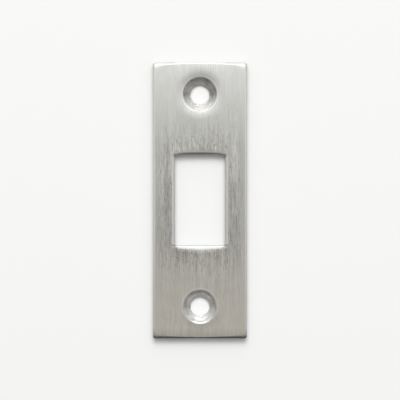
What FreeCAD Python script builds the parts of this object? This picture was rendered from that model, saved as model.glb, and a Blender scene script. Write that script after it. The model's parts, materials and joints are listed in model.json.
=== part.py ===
import FreeCAD, Part
import math
import os

from FreeCAD import Vector

# A flat door strike plate, stamped from one sheet and brushed lengthwise.
# Its back lies on Z = 0, its face looks along +Z, and its length runs along Y.
# All sizes are in millimetres.

# Plate
plate_length = 74.6
plate_width = 25.4
plate_thickness = 2.5
plate_corner_radius = 0.6

# Pressing draws the face down at its edges into rolls. A roll is a conic across, from the upright wall to
# the level face. Its fullness is 0.71 for a quarter of an ellipse, less for a flatter bevel, and more for a
# tighter edge with a long lead-in.

# Roll of the outer edge. Along the short ends it is wide at the corners and narrows to the middle, because
# the level face bows outwards there.
edge_roll_depth = 0.22
edge_roll_side_width = 1.1
edge_roll_end_width = 1.1
edge_roll_end_bow = 0.7
edge_roll_side_fullness = 1.2
edge_roll_end_fullness = 0.6
edge_roll_corner_fullness = 0.6
face_corner_radius = 2.0

# Opening for the bolt, with a roll that is narrow at the corners and swells to the middle of the short ends
opening_length = 24.6
opening_width = 13.55
opening_corner_radius = 0.7
opening_roll_depth = 0.42
opening_roll_side_width = 0.9
opening_roll_side_fullness = 0.4
opening_roll_end_width = 0.3
opening_roll_end_bow = 2.1
opening_roll_end_fullness = 1.6
opening_roll_corner_fullness = 2.6
opening_face_corner_radius = 0.9

# Countersunk screw holes. Each has a rounded rim in a shallow dish, which is deeper at the upper hole.
screw_spacing = 57.4
screw_hole_diameter = 5.2
countersink_diameter = 9.2
countersink_angle = 100.0
rim_round_width = 0.06
rim_round_depth = 0.006
dish_width = 2.4
upper_dish_depth = 0.045
lower_dish_depth = 0.01

# All edges at the back are broken by a small chamfer.
back_edge_break = 0.15


def outline(width, length, corner_radius, end_bow=0.0):
    """The eight lines and arcs of a rectangle with round corners and short ends that swell by end_bow.

    Each is given as start, bend, end and weight. The bend is where an arc's two end tangents meet, and
    the weight is the cosine of half its sweep. A line has its middle for a bend and a weight of 1.
    """
    half_width = width / 2
    half_length = length / 2
    corner_x = half_width - corner_radius
    if end_bow:
        end_radius = (half_width**2 + end_bow**2) / (2 * end_bow)
        end_centre = half_length + end_bow - end_radius
        end_half_sweep = math.asin(corner_x / (end_radius - corner_radius))
        corner_y = end_centre + (end_radius - corner_radius) * math.cos(end_half_sweep)
        end_bend = Vector(0, end_centre + end_radius / math.cos(end_half_sweep))
    else:
        end_half_sweep = 0.0
        corner_y = half_length - corner_radius
        end_bend = Vector(0, half_length)
    corner_half_sweep = math.pi / 4 - end_half_sweep / 2
    corner_bend = Vector(half_width, corner_y + corner_radius * math.tan(corner_half_sweep))
    side_start = Vector(half_width, -corner_y)
    side_end = Vector(half_width, corner_y)
    end_start = Vector(corner_x, corner_y)
    end_start += Vector(math.sin(end_half_sweep), math.cos(end_half_sweep)) * corner_radius

    def mirrored(point):
        return Vector(-point.x, point.y)

    half = [
        (side_start, Vector(half_width, 0), side_end, 1.0),
        (side_end, corner_bend, end_start, math.cos(corner_half_sweep)),
        (end_start, end_bend, mirrored(end_start), math.cos(end_half_sweep)),
        (mirrored(end_start), mirrored(corner_bend), mirrored(side_end), math.cos(corner_half_sweep)),
    ]
    return half + [(-start, -bend, -end, weight) for start, bend, end, weight in half]


def edge_at(height, start, bend, end, weight):
    """One line or arc of an outline, lifted to a height."""
    lift = Vector(0, 0, height)
    if weight == 1.0:
        return Part.LineSegment(start + lift, end + lift).toShape()
    middle = (start + bend * 2 * weight + end) / (2 + 2 * weight)
    return Part.Arc(start + lift, middle + lift, end + lift).toShape()


def walls(wall_outline, bottom, top):
    """The upright strips on an outline, from one height to another."""
    return [edge_at(bottom, *piece).extrude(Vector(0, 0, top - bottom)) for piece in wall_outline]


def roll(wall_outline, face_outline, bottom, top, side_fullness, corner_fullness, end_fullness):
    """The rounded strips from a wall outline up to a face outline, each a conic across.

    A strip leaves the wall upright and runs out level, so it meets wall and face without a crease. Its
    fullness is that of the sides, changes along each corner, and changes again to the middle of each end.
    """
    turn = (side_fullness + corner_fullness) / 2
    half = [
        (side_fullness, side_fullness, side_fullness),
        (side_fullness, turn, corner_fullness),
        (corner_fullness, 2 * end_fullness - corner_fullness, corner_fullness),
        (corner_fullness, turn, side_fullness),
    ]
    strips = []
    for wall_piece, face_piece, fullness in zip(wall_outline, face_outline, half + half):
        *wall_points, wall_weight = wall_piece
        *face_points, face_weight = face_piece
        poles = [
            [point + Vector(0, 0, bottom) for point in wall_points],
            [point + Vector(0, 0, top) for point in wall_points],
            [point + Vector(0, 0, top) for point in face_points],
        ]
        weights = [
            [1.0, wall_weight, 1.0],
            [fullness[0], fullness[1] * wall_weight, fullness[2]],
            [1.0, face_weight, 1.0],
        ]
        ends = [0.0, 1.0]
        strip = Part.BSplineSurface()
        strip.buildFromPolesMultsKnots(poles, [3, 3], [3, 3], ends, ends, False, False, 2, 2, weights)
        strips.append(strip.toShape())
    return strips


def level_face(outer, inner, height):
    """The flat face at one height between two outlines."""
    wires = [Part.Wire([edge_at(height, *piece) for piece in ring]) for ring in (outer, inner)]
    return Part.makeFace(wires, "Part::FaceMakerBullseye")


def sunk_arc(outer, width, depth):
    """The arc that leaves a point level, runs inwards by a width and sinks by a depth."""
    radius = (width**2 + depth**2) / (2 * depth)
    half_sweep = math.asin(width / radius) / 2
    middle = outer - Vector(math.sin(half_sweep), 0, 1 - math.cos(half_sweep)) * radius
    return Part.Arc(outer, middle, outer - Vector(width, 0, depth)).toShape()


def countersunk_hole(dish_depth):
    """The space of one screw hole about the Z axis: its land, cone, rounded rim and dish."""
    hole_radius = screw_hole_diameter / 2
    cone_radius = countersink_diameter / 2
    dish_radius = cone_radius + rim_round_width + dish_width
    cone_depth = (cone_radius - hole_radius) / math.tan(math.radians(countersink_angle / 2))
    dish_edge = Vector(dish_radius, 0, plate_thickness)
    rim = dish_edge - Vector(dish_width, 0, dish_depth)
    cone_top = rim - Vector(rim_round_width, 0, rim_round_depth)
    neck = Vector(hole_radius, 0, cone_top.z - cone_depth)
    below = Vector(hole_radius, 0, -plate_thickness)
    above = Vector(dish_radius, 0, 2 * plate_thickness)
    axis = [Vector(0, 0, below.z), Vector(0, 0, above.z)]
    profile = [
        Part.makePolygon([cone_top, neck, below, *axis, above, dish_edge]),
        sunk_arc(dish_edge, dish_width, dish_depth),
        sunk_arc(rim, rim_round_width, rim_round_depth),
    ]
    return Part.Face(Part.Wire(profile)).revolve(Vector(), Vector(0, 0, 1), 360)


edge_wall = outline(plate_width, plate_length, plate_corner_radius)
edge_face = outline(
    plate_width - 2 * edge_roll_side_width,
    plate_length - 2 * edge_roll_end_width,
    face_corner_radius,
    edge_roll_end_bow,
)
edge_shoulder = plate_thickness - edge_roll_depth
edge_roll = roll(
    edge_wall,
    edge_face,
    edge_shoulder,
    plate_thickness,
    edge_roll_side_fullness,
    edge_roll_corner_fullness,
    edge_roll_end_fullness,
)

opening_wall = outline(opening_width, opening_length, opening_corner_radius)
opening_face = outline(
    opening_width + 2 * opening_roll_side_width,
    opening_length + 2 * opening_roll_end_width,
    opening_face_corner_radius,
    opening_roll_end_bow,
)
opening_shoulder = plate_thickness - opening_roll_depth
opening_roll = roll(
    opening_wall,
    opening_face,
    opening_shoulder,
    plate_thickness,
    opening_roll_side_fullness,
    opening_roll_corner_fullness,
    opening_roll_end_fullness,
)

# The plate with its opening: back, outer walls and roll, face, roll and walls of the opening
skin = Part.makeShell(
    [level_face(edge_wall, opening_wall, 0.0)]
    + walls(edge_wall, 0.0, edge_shoulder)
    + edge_roll
    + [level_face(edge_face, opening_face, plate_thickness)]
    + opening_roll
    + walls(opening_wall, 0.0, opening_shoulder)
)
skin.sewShape()
plate = Part.makeSolid(skin)

# One screw hole near each short end
upper_hole = countersunk_hole(upper_dish_depth)
lower_hole = countersunk_hole(lower_dish_depth)
upper_hole.translate(Vector(0, screw_spacing / 2, 0))
lower_hole.translate(Vector(0, -screw_spacing / 2, 0))
plate = plate.cut(upper_hole).cut(lower_hole)

# The broken edges at the back
back_edges = [edge for edge in plate.Edges if edge.BoundBox.ZMax < back_edge_break / 2]
plate = plate.makeChamfer(back_edge_break, back_edges).Solids[0]

os.makedirs("parts", exist_ok=True)
plate.exportStep("parts/strike_plate.step")
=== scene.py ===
import json
import math

import bpy
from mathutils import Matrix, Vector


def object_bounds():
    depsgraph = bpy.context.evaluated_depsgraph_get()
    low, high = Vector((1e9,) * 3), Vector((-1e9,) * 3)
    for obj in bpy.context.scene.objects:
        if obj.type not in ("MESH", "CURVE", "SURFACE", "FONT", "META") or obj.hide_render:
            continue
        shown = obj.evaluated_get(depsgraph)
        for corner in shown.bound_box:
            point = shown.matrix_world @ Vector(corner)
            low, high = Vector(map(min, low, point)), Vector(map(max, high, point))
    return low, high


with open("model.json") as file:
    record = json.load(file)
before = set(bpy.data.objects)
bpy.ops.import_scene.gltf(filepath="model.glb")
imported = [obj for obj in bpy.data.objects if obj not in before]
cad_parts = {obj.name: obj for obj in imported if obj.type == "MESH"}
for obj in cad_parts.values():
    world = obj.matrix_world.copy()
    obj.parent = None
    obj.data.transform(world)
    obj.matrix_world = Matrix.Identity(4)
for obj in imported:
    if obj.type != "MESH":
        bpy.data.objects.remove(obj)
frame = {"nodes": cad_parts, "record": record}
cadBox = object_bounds()
plate = frame["nodes"]["strike_plate"]
scene = bpy.context.scene
mm = 0.001

# the plate's edges towards +X and +Y, its face, and how far the screw holes are from its middle
plateSide, plateEnd, plateTop = cadBox[1]
mounts = {mount["name"]: mount for mount in frame["record"]["mounts"]}
holeY = mounts["upper_screw_hole"]["pos_m"][1]
print("plate loaded")


# node helpers: a socket is linked, anything else is set as the value
def fill(tree, made, inputs):
    for name, value in inputs.items():
        if isinstance(value, bpy.types.NodeSocket):
            tree.links.new(value, made.inputs[name])
        else:
            made.inputs[name].default_value = value


def addNode(tree, kind, inputs=None, **settings):
    made = tree.nodes.new(kind)
    for name, value in settings.items():
        setattr(made, name, value)
    fill(tree, made, inputs or {})
    return made


def calc(tree, how, *values, clamp=False):
    made = addNode(tree, "ShaderNodeMath", dict(enumerate(values)), operation=how, use_clamp=clamp)
    return made.outputs[0]


def product(tree, first, *others):
    for other in others:
        first = calc(tree, "MULTIPLY", first, other)
    return first


# the start plus each mask times its amount
def weigh(tree, parts, start=1.0):
    for mask, amount in parts:
        start = calc(tree, "MULTIPLY_ADD", mask, amount, start)
    return start


def ramp(tree, value, fromMin, fromMax, toMin=0.0, toMax=1.0, how="SMOOTHSTEP"):
    made = addNode(
        tree,
        "ShaderNodeMapRange",
        {"Value": value, "From Min": fromMin, "From Max": fromMax, "To Min": toMin, "To Max": toMax},
        interpolation_type=how,
    )
    return made.outputs["Result"]


def splitXyz(tree, vector):
    return addNode(tree, "ShaderNodeSeparateXYZ", {"Vector": vector}).outputs


def joinXyz(tree, x, y, z):
    return addNode(tree, "ShaderNodeCombineXYZ", {"X": x, "Y": y, "Z": z}).outputs[0]


def opaque(colour):
    return (*colour, 1.0)


def mixColour(tree, amount, first, second, how="MIX"):
    made = addNode(tree, "ShaderNodeMix", data_type="RGBA", blend_type=how)
    fill(tree, made, {0: amount, 6: first, 7: second})
    return made.outputs[2]


def newGroup(name, inputs, outputs):
    group = bpy.data.node_groups.new(name, "ShaderNodeTree")
    for title, kind, value in inputs:
        socket = group.interface.new_socket(title, in_out="INPUT", socket_type="NodeSocket" + kind)
        if value is not None:
            socket.default_value = value
    for title, kind in outputs:
        group.interface.new_socket(title, in_out="OUTPUT", socket_type="NodeSocket" + kind)
    return group, addNode(group, "NodeGroupInput").outputs, addNode(group, "NodeGroupOutput")


def useGroup(tree, group, inputs):
    made = addNode(tree, "ShaderNodeGroup", node_tree=group)
    fill(tree, made, inputs)
    return made.outputs


# width and length of each layer are times the streak's own, and share is its part in the tone
grainLook = {
    "layers": [
        {"width": 0.35, "length": 1.6, "shift": 3.1, "detail": 1.0, "share": 0.25},  # hairs
        {"width": 1.0, "length": 1.0, "shift": 11.7, "detail": 2.0, "share": 0.5},  # streaks
        {"width": 6.0, "length": 5.0, "shift": 23.3, "detail": 1.0, "share": 0.25},  # bands
    ],
    "strokes": {"width": 0.9, "length": 0.33, "shift": 41.9, "detail": 1.0},  # sparse darker scratches
    "fineness": 0.6,
    "toneSpan": (0.32, 0.68),
    "strokeSpan": (0.34, 0.44),
    "strokeDepth": 0.3,
}


# abrasive streaks: narrow along X and Z, long along Y, in three sizes
def makeBeltGrain(look):
    group, given, result = newGroup(
        "beltGrain",
        [
            ("Vector", "Vector", None),
            ("Width", "Float", 0.2 * mm),
            ("Length", "Float", 6 * mm),
            ("Hard Strokes", "Float", 0.5),
        ],
        [("Tone", "Float"), ("Height", "Float")],
    )
    place = splitXyz(group, given["Vector"])

    def noiseOf(layer):
        wide = calc(group, "MULTIPLY", given["Width"], layer["width"])
        long = calc(group, "MULTIPLY", given["Length"], layer["length"])
        spot = joinXyz(
            group,
            calc(group, "ADD", calc(group, "DIVIDE", place["X"], wide), layer["shift"]),
            calc(group, "DIVIDE", place["Y"], long),
            calc(group, "DIVIDE", place["Z"], wide),
        )
        inputs = {"Vector": spot, "Scale": 1.0, "Detail": layer["detail"], "Roughness": look["fineness"]}
        return addNode(group, "ShaderNodeTexNoise", inputs).outputs["Fac"]

    body = weigh(group, [(noiseOf(layer), layer["share"]) for layer in look["layers"]], 0.0)
    clear = ramp(group, noiseOf(look["strokes"]), *look["strokeSpan"])
    loss = calc(group, "MULTIPLY", calc(group, "SUBTRACT", 1.0, clear), given["Hard Strokes"])
    tone = calc(group, "SUBTRACT", ramp(group, body, *look["toneSpan"], how="LINEAR"), loss, clamp=True)
    height = calc(group, "MULTIPLY_ADD", loss, -look["strokeDepth"], body)
    fill(group, result, {"Tone": tone, "Height": height})
    return group


patchLook = {"detail": 2.0, "distortion": 0.4, "span": (0.35, 0.65)}


# soft uneven patches, as wiping and handling leave them
def makeDullPatches(look):
    group, given, result = newGroup(
        "dullPatches", [("Vector", "Vector", None), ("Size", "Float", 9 * mm)], [("Patch", "Float")]
    )
    inputs = {
        "Vector": given["Vector"],
        "Scale": calc(group, "DIVIDE", 1.0, given["Size"]),
        "Detail": look["detail"],
        "Distortion": look["distortion"],
    }
    noise = addNode(group, "ShaderNodeTexNoise", inputs).outputs["Fac"]
    fill(group, result, {"Patch": ramp(group, noise, *look["span"])})
    return group


# a metal's colour and roughness from the tone of its grain and the patches
def makeMetalTone():
    group, given, result = newGroup(
        "metalTone",
        [
            ("Colour", "Color", None),
            ("Tone", "Float", 0.5),
            ("Middle Tone", "Float", 0.5),
            ("Contrast", "Float", 0.2),
            ("Gain", "Float", 1.0),
            ("Patch", "Float", 0.5),
            ("Patching", "Float", 0.05),
            ("Roughness", "Float", 0.3),
            ("Rough Spread", "Float", 0.05),
            ("Dulled", "Float", 0.0),
        ],
        [("Colour", "Color"), ("Roughness", "Float")],
    )
    aside = calc(group, "SUBTRACT", given["Tone"], given["Middle Tone"])
    swing = calc(group, "MULTIPLY", given["Contrast"], 2.0)
    level = calc(group, "MULTIPLY", weigh(group, [(aside, swing)]), given["Gain"])
    colour = mixColour(group, 1.0, given["Colour"], joinXyz(group, level, level, level), "MULTIPLY")
    darkness = calc(group, "MULTIPLY_ADD", given["Tone"], -2.0, 1.0)  # from 1 at tone 0 to -1 at tone 1
    patch = calc(group, "SUBTRACT", given["Patch"], 0.5)
    parts = [(darkness, given["Rough Spread"]), (patch, given["Patching"])]
    rough = calc(group, "ADD", weigh(group, parts, given["Roughness"]), given["Dulled"])
    fill(group, result, {"Colour": colour, "Roughness": rough})
    return group


beltGrain = makeBeltGrain(grainLook)
dullPatches = makeDullPatches(patchLook)
metalTone = makeMetalTone()
print("grain, patches and tone ready")


def newMetal(name, look):
    material = bpy.data.materials.new(name)
    material.use_nodes = True
    tree = material.node_tree
    shader = tree.nodes["Principled BSDF"]
    fill(tree, shader, {"Metallic": 1.0, "Anisotropic": look["anisotropy"]})
    return material, tree, shader, addNode(tree, "ShaderNodeTexCoord").outputs


def useGrain(tree, look, vector, strokes):
    inputs = {
        "Vector": vector,
        "Width": look["streakWidth"],
        "Length": look["streakLength"],
        "Hard Strokes": strokes,
    }
    return useGroup(tree, beltGrain, inputs)


def usePatches(tree, look, vector):
    return useGroup(tree, dullPatches, {"Vector": vector, "Size": look["patchSize"]})["Patch"]


def gainOf(tree, look, masks):
    return weigh(tree, [(mask, look[name]["gain"]) for name, mask in masks.items()])


# the level way from the axis of the nearer screw hole
def fromHoleAxis(tree, place):
    end = calc(tree, "SIGN", place["Y"])
    return joinXyz(tree, place["X"], calc(tree, "MULTIPLY_ADD", end, -holeY, place["Y"]), 0.0)


def lengthOf(tree, vector):
    return addNode(tree, "ShaderNodeVectorMath", {0: vector}, operation="LENGTH").outputs["Value"]


def roundAxis(tree, axis):
    return addNode(tree, "ShaderNodeTangent", direction_type="RADIAL", axis=axis).outputs[0]


# colour, roughness and relief from the look's values, and from changes that vary over the surface
def finishMetal(tree, shader, look, grain, patch, tangent, changes):
    inputs = {
        "Colour": opaque(look["colour"]),
        "Tone": grain["Tone"],
        "Middle Tone": look["middleTone"],
        "Contrast": look["contrast"],
        "Patch": patch,
        "Patching": look["patching"],
        "Roughness": look["roughness"],
        "Rough Spread": look["roughSpread"],
    }
    toned = useGroup(tree, metalTone, inputs | changes)
    relief = {"Height": grain["Height"], "Strength": look["relief"], "Distance": look["reliefDepth"]}
    bump = addNode(tree, "ShaderNodeBump", relief).outputs["Normal"]
    fill(tree, shader, {"Base Color": toned["Colour"], "Roughness": toned["Roughness"]})
    fill(tree, shader, {"Normal": bump, "Tangent": tangent})


faceLook = {
    "colour": (0.617, 0.614, 0.588),
    "contrast": 0.2,  # light and dark streaks
    "middleTone": 0.44,
    "roughness": 0.3,
    "roughSpread": 0.03,
    "patching": 0.02,
    "patchSize": 9 * mm,
    "anisotropy": 0.6,
    "relief": 0.25,
    "reliefDepth": 0.01 * mm,
    "streakWidth": 0.19 * mm,
    "streakLength": 4.2 * mm,
    # streaks are strong beside the opening, weak at the plate's ends, calm at its long edges and on the rolls
    "strong": 2.5,
    "weak": 0.7,
    "weakens": (12 * mm, 26 * mm),
    "calm": 0.4,
    "calms": (9.8 * mm, 11.8 * mm),
    "rollStreaks": 0.15,
    "fadeUp": (0.9998, 0.998),
    # dark strokes, with more of them at the two ends of the opening
    "hardStrokes": 0.3,
    "endStrokes": 0.8,
    "strokesAlong": (21 * mm, 14.5 * mm),
    "strokesAcross": (9 * mm, 6.3 * mm),
    # up and along are spans of the Z and Y parts of the way the surface looks, and a gain below 0 darkens
    # rolls that look along +Y are dulled and get a little painted light, rolls that look along -Y get painted
    # shade
    "roll": {"up": (0.999, 0.992)},
    "litDulledRoll": {"along": (-0.08, 0.02), "gain": 0.1, "dulled": 0.3},
    "steepHighlight": {"up": (0.96, 0.8), "along": (0.1, 0.4), "gain": 0.3},  # painted highlight on the outer part of the rolls the belt met
    "lead": {"along": (0.003, 0.02), "end": 16 * mm, "gain": 0.25},  # painted highlight on the level ground before the opening's roll
    # painted shade on the rolls that look along -Y
    "leeShade": {"along": (-0.02, -0.12), "gain": -0.3},
    # corners where the rolls get painted shade, and the opening's shoulders where they get painted light:
    # start and end along X and Y from the plate's middle
    "openingCornerShade": {"x": (6.3 * mm, 9.1 * mm), "y": (11.6 * mm, 14 * mm), "soft": 0.5 * mm, "gain": -0.78},
    # painted light that lifts the painted shade at the opening's corners towards +Y
    "openingShoulderLight": {"x": (6.8 * mm, 9.1 * mm), "y": (11.6 * mm, 14 * mm), "soft": 0.3 * mm, "gain": 0.8},
    # painted shade on the rolls at the plate's corners
    "plateCornerShade": {
        "x": (5.5 * mm, plateSide + 4 * mm),
        "y": (34.5 * mm, plateEnd + 4 * mm),
        "soft": 2 * mm,
        "gain": -0.22,
    },
    # smudge and painted shade outward of the screw holes, painted highlights on their rims, painted shade on
    # the strips beside the opening and at the end towards -Y
    "smudgeAndShade": {"radius": (6.9 * mm, 4.8 * mm), "outward": (1.5 * mm, 4.5 * mm), "gain": -0.13},
    "rim": {"radius": (5.3 * mm, 4.7 * mm), "gain": 0.12},
    "strip": {"x": (12.4 * mm, 8.2 * mm), "y": (15 * mm, 7.5 * mm), "middle": -5 * mm, "gain": -0.16},
    "footShade": {"y": (2.9 * mm - plateEnd, 0.4 * mm - plateEnd), "gain": -0.2},
}


# the belt ran towards -Y: it dulled the rolls it met first and passed over those on the lee side; the rolls
# it met also get a little painted light, and those on the lee side get painted shade
def rollMasks(tree, look, facing, level, fromMiddle):
    def looksAlong(name):
        return ramp(tree, facing["Y"], *look[name]["along"])

    roll = calc(tree, "SUBTRACT", 1.0, level)
    nearOpening = calc(tree, "LESS_THAN", fromMiddle, look["lead"]["end"])
    return {
        "litDulledRoll": product(tree, roll, looksAlong("litDulledRoll")),
        "steepHighlight": product(tree, ramp(tree, facing["Z"], *look["steepHighlight"]["up"]), looksAlong("steepHighlight")),
        "lead": product(tree, looksAlong("lead"), level, nearOpening),
        "leeShade": product(tree, roll, looksAlong("leeShade")),
    }


# part of a roll that lies at a corner
def cornerMask(tree, corner, turned, fromSide, fromMiddle):
    for distance, (start, end) in ((fromSide, corner["x"]), (fromMiddle, corner["y"])):
        begun = ramp(tree, distance, start, start + corner["soft"])
        turned = product(tree, turned, begun, ramp(tree, distance, end, end - corner["soft"]))
    return turned


# ground with smudge and painted shade outward of the holes, painted highlights on the rims, painted shade in
# strips beside the opening and at the end towards -Y
def groundMasks(tree, look, place, level, fromSide, fromMiddle):
    reach = lengthOf(tree, fromHoleAxis(tree, place))
    outward = calc(tree, "SUBTRACT", fromMiddle, holeY)
    beyond = ramp(tree, outward, *look["smudgeAndShade"]["outward"])
    aside = calc(tree, "ABSOLUTE", calc(tree, "SUBTRACT", place["Y"], look["strip"]["middle"]))
    beside = ramp(tree, fromSide, *look["strip"]["x"])
    return {
        "smudgeAndShade": product(tree, ramp(tree, reach, *look["smudgeAndShade"]["radius"]), beyond),
        "rim": ramp(tree, reach, *look["rim"]["radius"]),
        "strip": product(tree, beside, ramp(tree, aside, *look["strip"]["y"]), level),
        "footShade": ramp(tree, place["Y"], *look["footShade"]["y"], how="LINEAR"),
    }


def makeBrushedFace(look):
    material, tree, shader, spots = newMetal("brushedFace", look)
    place = splitXyz(tree, spots["Object"])
    facing = splitXyz(tree, spots["Normal"])
    fromSide = calc(tree, "ABSOLUTE", place["X"])
    fromMiddle = calc(tree, "ABSOLUTE", place["Y"])
    level = calc(tree, "SUBTRACT", 1.0, ramp(tree, facing["Z"], *look["roll"]["up"]))

    masks = rollMasks(tree, look, facing, level, fromMiddle)
    # painted shade at the corners of the rolls, painted light at the opening's shoulders
    corners = {"openingCornerShade": "litDulledRoll", "plateCornerShade": "litDulledRoll", "openingShoulderLight": "leeShade"}
    for name, roll in corners.items():
        masks[name] = cornerMask(tree, look[name], masks[roll], fromSide, fromMiddle)
    masks |= groundMasks(tree, look, place, level, fromSide, fromMiddle)

    kept = ramp(tree, facing["Z"], *look["fadeUp"], 1.0, look["rollStreaks"])
    strong = ramp(tree, fromMiddle, *look["weakens"], look["strong"], look["weak"])
    calm = ramp(tree, fromSide, *look["calms"], 1.0, look["calm"])
    atEnds = ramp(tree, fromMiddle, *look["strokesAlong"])
    atEnds = product(tree, atEnds, ramp(tree, fromSide, *look["strokesAcross"]))
    strokes = weigh(tree, [(atEnds, look["endStrokes"] - look["hardStrokes"])], look["hardStrokes"])

    grain = useGrain(tree, look, spots["Object"], product(tree, strokes, kept))
    patch = usePatches(tree, look, spots["Object"])
    changes = {
        "Contrast": product(tree, strong, calm, kept, look["contrast"]),
        "Gain": gainOf(tree, look, masks),
        "Dulled": product(tree, masks["litDulledRoll"], look["litDulledRoll"]["dulled"]),
    }
    finishMetal(tree, shader, look, grain, patch, roundAxis(tree, "Y"), changes)
    return material


coneLook = {
    "colour": (0.6, 0.587, 0.565),
    "contrast": 0.5,
    "middleTone": 0.5,
    "roughness": 0.285,
    "roughSpread": 0.05,
    "patching": 0.05,
    "patchSize": 3 * mm,
    "anisotropy": 1.0,
    "relief": 0.3,
    "reliefDepth": 0.01 * mm,
    "streakWidth": 0.25 * mm,  # turned rings, across and along
    "streakLength": 4 * mm,
    "hardStrokes": 0.3,
    "arcRadius": 4 * mm,  # makes a length of the angle round the axis
    "lower": {"gain": 0.12, "dulled": 0.08},  # hole towards -Y
    # painted shade where the cone looks along -Y, weaker further in; painted highlight on the flanks at both
    # sides of the part that looks along +Y
    "leeShade": {"along": (-0.3, -0.6), "radius": (3 * mm, 4.4 * mm), "inner": 0.3, "gain": -0.42},
    "flankHighlight": {"rise": (-0.05, 0.3), "fall": (0.62, 0.4), "gain": 0.9},
    "cutter": {"pitch": 1.2 * mm, "radius": 4 * mm, "gain": -0.16},  # wide rings at the hole towards -Y
}


# turned rings round each screw hole's axis
def makeTurnedCone(look):
    material, tree, shader, spots = newMetal("turnedCone", look)
    place = splitXyz(tree, spots["Object"])
    facing = splitXyz(tree, spots["Normal"])
    radial = fromHoleAxis(tree, place)
    reach = lengthOf(tree, radial)
    offset = splitXyz(tree, radial)
    arc = product(tree, calc(tree, "ARCTAN2", offset["Y"], offset["X"]), look["arcRadius"])
    rings = joinXyz(tree, reach, arc, calc(tree, "SIGN", place["Y"]))

    lower = calc(tree, "LESS_THAN", place["Y"], 0.0)
    leeShade, flankHighlight, cutter = look["leeShade"], look["flankHighlight"], look["cutter"]
    outer = ramp(tree, reach, *leeShade["radius"], leeShade["inner"])
    phase = calc(tree, "SUBTRACT", reach, cutter["radius"])
    phase = product(tree, phase, 2 * math.pi / cutter["pitch"])
    rise = ramp(tree, facing["Y"], *flankHighlight["rise"])
    masks = {
        "lower": lower,
        "leeShade": product(tree, ramp(tree, facing["Y"], *leeShade["along"]), outer),
        "flankHighlight": product(tree, rise, ramp(tree, facing["Y"], *flankHighlight["fall"])),
        "cutter": product(tree, lower, calc(tree, "COSINE", phase)),
    }
    # the gain paints shade on the part of the cone that looks along -Y and highlights on its flanks
    changes = {
        "Gain": gainOf(tree, look, masks),
        "Dulled": product(tree, lower, look["lower"]["dulled"]),
    }
    grain = useGrain(tree, look, rings, look["hardStrokes"])
    patch = usePatches(tree, look, spots["Object"])
    downSlope = addNode(
        tree,
        "ShaderNodeVectorTransform",
        {"Vector": radial},
        vector_type="VECTOR",
        convert_from="OBJECT",
        convert_to="WORLD",
    )
    finishMetal(tree, shader, look, grain, patch, downSlope.outputs[0], changes)
    return material


wallLook = {
    "colour": (0.74, 0.73, 0.71),
    "contrast": 0.2,
    "middleTone": 0.5,
    "roughness": 0.34,
    "roughSpread": 0.06,
    "patching": 0.06,
    "patchSize": 2 * mm,
    "anisotropy": 0.4,
    "relief": 0.4,
    "reliefDepth": 0.02 * mm,
    "streakWidth": 0.12 * mm,
    "streakLength": 1.5 * mm,
    "hardStrokes": 0.5,
    "torn": {"height": (1.0 * mm, 0.8 * mm), "wander": 0.25 * mm, "loss": 0.5},  # dull lower part
    "end": {"along": (0.3, 0.8), "gain": -0.5, "dulled": 0.3},  # painted shade on walls that look along +Y, which are also dulled
}


# sheared wall: upright scores, smooth above and torn below, with painted shade on the walls that look along
# +Y
def makeShearedWall(look):
    material, tree, shader, spots = newMetal("shearedWall", look)
    place = splitXyz(tree, spots["Object"])
    facing = splitXyz(tree, spots["Normal"])
    across = calc(tree, "ADD", place["X"], place["Y"])
    scores = joinXyz(tree, across, place["Z"], calc(tree, "SUBTRACT", place["X"], place["Y"]))
    grain = useGrain(tree, look, scores, look["hardStrokes"])
    patch = usePatches(tree, look, spots["Object"])
    tornEdge = weigh(tree, [(patch, look["torn"]["wander"])], place["Z"])
    torn = ramp(tree, tornEdge, *look["torn"]["height"])
    end = ramp(tree, facing["Y"], *look["end"]["along"])
    changes = {
        "Tone": weigh(tree, [(torn, -look["torn"]["loss"])], grain["Tone"]),
        "Gain": gainOf(tree, look, {"end": end}),
        "Dulled": product(tree, end, look["end"]["dulled"]),
    }
    finishMetal(tree, shader, look, grain, patch, roundAxis(tree, "Z"), changes)
    return material


backLook = {
    "colour": (0.52, 0.51, 0.49),
    "contrast": 0.1,
    "middleTone": 0.5,
    "roughness": 0.45,
    "roughSpread": 0.05,
    "patching": 0.12,
    "patchSize": 12 * mm,
    "anisotropy": 0.3,
    "relief": 0.15,
    "reliefDepth": 0.01 * mm,
    "streakWidth": 0.3 * mm,
    "streakLength": 14 * mm,
    "hardStrokes": 0.2,
}


def makeRolledBack(look):
    material, tree, shader, spots = newMetal("rolledBack", look)
    grain = useGrain(tree, look, spots["Object"], look["hardStrokes"])
    patch = usePatches(tree, look, spots["Object"])
    finishMetal(tree, shader, look, grain, patch, roundAxis(tree, "Y"), {})
    return material


finishes = {
    "face": makeBrushedFace(faceLook),
    "cone": makeTurnedCone(coneLook),
    "wall": makeShearedWall(wallLook),
    "back": makeRolledBack(backLook),
}
order = list(finishes)
print("finishes made:", ", ".join(order))

# which finish each of the plate's facets takes, from its place and how far it looks up
zoneLook = {
    "rimRadius": 4.61 * mm,
    "coneUp": -0.2,
    "backUp": -0.99,
    "wallUp": 0.05,
    "wallTop": plateTop - 0.28 * mm,
}


def zoneOf(centre, normal, look):
    fromHole = math.hypot(centre.x, abs(centre.y) - holeY)
    if fromHole < look["rimRadius"] and normal.z > look["coneUp"]:
        return "cone"
    if normal.z < look["backUp"]:
        return "back"
    if normal.z < look["wallUp"] and centre.z < look["wallTop"]:
        return "wall"
    return "face"


plate.data.materials.clear()
for name in order:
    plate.data.materials.append(finishes[name])
for facet in plate.data.polygons:
    facet.material_index = order.index(zoneOf(facet.center, facet.normal, zoneLook))
slots = [facet.material_index for facet in plate.data.polygons]
print("facets per finish:", {name: slots.count(slot) for slot, name in enumerate(order)})

seamLook = {"join": 0.002 * mm, "sharpAngle": 22.0, "faceWeight": 100}


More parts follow.
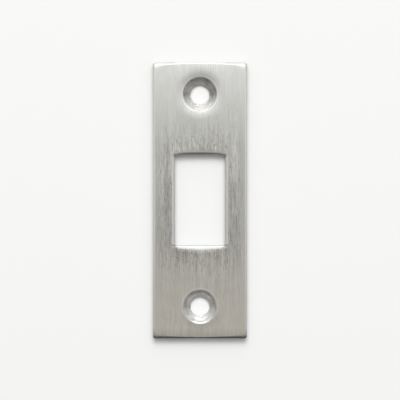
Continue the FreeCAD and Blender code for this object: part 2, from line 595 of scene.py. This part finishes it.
# seams between the plate's tangent surfaces are joined and shaded as one
def softenSeams(target, look):
    tree = bpy.data.node_groups.new("softSeams", "GeometryNodeTree")
    tree.interface.new_socket("Geometry", in_out="INPUT", socket_type="NodeSocketGeometry")
    tree.interface.new_socket("Geometry", in_out="OUTPUT", socket_type="NodeSocketGeometry")

    def step(kind, before, inputs, **settings):
        return addNode(tree, kind, {"Geometry": before} | inputs, **settings).outputs[0]

    angle = addNode(tree, "GeometryNodeInputMeshEdgeAngle").outputs["Unsigned Angle"]
    limit = math.radians(look["sharpAngle"])
    crisp = addNode(tree, "FunctionNodeCompare", {0: angle, 1: limit}, operation="GREATER_THAN").outputs[0]
    shape = addNode(tree, "NodeGroupInput").outputs[0]
    shape = step("GeometryNodeRemoveAttribute", shape, {"Name": "custom_normal"})
    shape = step("GeometryNodeMergeByDistance", shape, {"Distance": look["join"]})
    shape = step("GeometryNodeSetShadeSmooth", shape, {"Shade Smooth": True}, domain="FACE")
    keepCrisp = {"Selection": crisp, "Shade Smooth": False}
    shape = step("GeometryNodeSetShadeSmooth", shape, keepCrisp, domain="EDGE")
    tree.links.new(shape, addNode(tree, "NodeGroupOutput").inputs[0])
    target.modifiers.new("softSeams", "NODES").node_group = tree
    even = target.modifiers.new("evenNormals", "WEIGHTED_NORMAL")
    even.mode = "FACE_AREA"
    even.weight = look["faceWeight"]
    even.keep_sharp = True


softenSeams(plate, seamLook)
print("seams softened")

floorLook = {
    "colour": (0.893, 0.888, 0.876),
    "roughness": 0.9,
    "gloss": 0.0,
    "half": 3.0,
    "drop": 0.02 * mm,
}


def makeFloor(look):
    half = look["half"]
    mesh = bpy.data.meshes.new("floor")
    corners = [(-half, -half, 0), (half, -half, 0), (half, half, 0), (-half, half, 0)]
    mesh.from_pydata(corners, [], [(0, 1, 2, 3)])
    floor = bpy.data.objects.new("floor", mesh)
    floor.location.z = -look["drop"]
    scene.collection.objects.link(floor)
    paint = bpy.data.materials.new("floorPaint")
    paint.use_nodes = True
    inputs = {
        "Base Color": opaque(look["colour"]),
        "Roughness": look["roughness"],
        "Specular IOR Level": look["gloss"],
    }
    fill(paint.node_tree, paint.node_tree.nodes["Principled BSDF"], inputs)
    mesh.materials.append(paint)
    return floor


makeFloor(floorLook)
print("floor laid")

# one large softbox in strips from near overhead down towards +Y, and a dim warm card towards -Y
# (angle from overhead, half widths as seen from the plate, brightness)
cool = (0.975, 0.992, 1.0)
warm = (1.0, 0.88, 0.72)
lampLooks = {
    "softboxTop": {"angle": 14.0, "halfWide": 18.0, "halfLong": 6.0, "brightness": 2.55, "colour": cool},
    "softboxUpper": {"angle": 25.0, "halfWide": 18.0, "halfLong": 5.0, "brightness": 5.4, "colour": cool},
    "softboxLower": {"angle": 35.0, "halfWide": 18.0, "halfLong": 5.0, "brightness": 8.3, "colour": cool},
    "softboxFoot": {"angle": 47.0, "halfWide": 14.0, "halfLong": 6.0, "brightness": 4.6, "colour": cool},
    "frontCard": {"angle": -7.5, "halfWide": 18.0, "halfLong": 2.5, "brightness": 0.95, "colour": warm},
}
lampDistance = 2.0


def makeLamp(name, look):
    lamp = bpy.data.lights.new(name, "AREA")
    lamp.shape = "RECTANGLE"
    lamp.size = 2 * lampDistance * math.tan(math.radians(look["halfWide"]))
    lamp.size_y = 2 * lampDistance * math.tan(math.radians(look["halfLong"]))
    lamp.energy = math.pi * lamp.size * lamp.size_y * look["brightness"]
    lamp.color = look["colour"]
    placed = bpy.data.objects.new(name, lamp)
    turn = math.radians(look["angle"])
    placed.location = (0, lampDistance * math.sin(turn), lampDistance * math.cos(turn))
    placed.rotation_euler = (-turn, 0, 0)
    scene.collection.objects.link(placed)


roomLook = {
    "above": (0.25, 0.248, 0.243),
    "left": (2.3, 2.3, 2.3),  # towards -X
    "right": (2.65, 2.65, 2.65),  # towards +X
    "behind": (1.1, 1.1, 1.1),  # towards +Y
    "front": (0.12, 0.12, 0.12),  # towards -Y
}


# pale room: brightest half way up at both sides, dim towards -Y
def makeRoom(look):
    world = bpy.data.worlds.new("room")
    scene.world = world
    world.use_nodes = True
    tree = world.node_tree
    way = splitXyz(tree, addNode(tree, "ShaderNodeTexCoord").outputs["Generated"])
    square = {axis: product(tree, way[axis], way[axis]) for axis in "XYZ"}
    black = opaque((0, 0, 0))

    def pick(axis, below, above):
        past = calc(tree, "GREATER_THAN", way[axis], 0.0)
        return mixColour(tree, past, below, above)

    side = pick("X", opaque(look["left"]), opaque(look["right"]))
    ahead = pick("Y", opaque(look["front"]), opaque(look["behind"]))
    glow = mixColour(tree, product(tree, square["Z"], square["Z"]), black, opaque(look["above"]))
    for colour, amount in ((side, product(tree, square["X"], square["Z"])), (ahead, square["Y"])):
        glow = mixColour(tree, 1.0, glow, mixColour(tree, amount, black, colour), "ADD")
    fill(tree, tree.nodes["Background"], {"Color": pick("Z", black, glow), "Strength": 1.0})


for name, look in lampLooks.items():
    makeLamp(name, look)
makeRoom(roomLook)
print("lights placed")

cameraLook = {
    "height": 420 * mm,
    "frame": 108 * mm,  # width of the picture at the plate's face
    "sensor": 36.0,
    "aim": (0.014 * mm, 0.07 * mm),
}


def makeCamera(look):
    lens = bpy.data.cameras.new("camera")
    lens.sensor_width = look["sensor"]
    lens.lens = look["sensor"] * (look["height"] - plateTop) / look["frame"]
    camera = bpy.data.objects.new("camera", lens)
    camera.location = (*look["aim"], look["height"])
    scene.collection.objects.link(camera)
    scene.camera = camera


makeCamera(cameraLook)
scene.view_settings.view_transform = "Standard"
print("camera set")
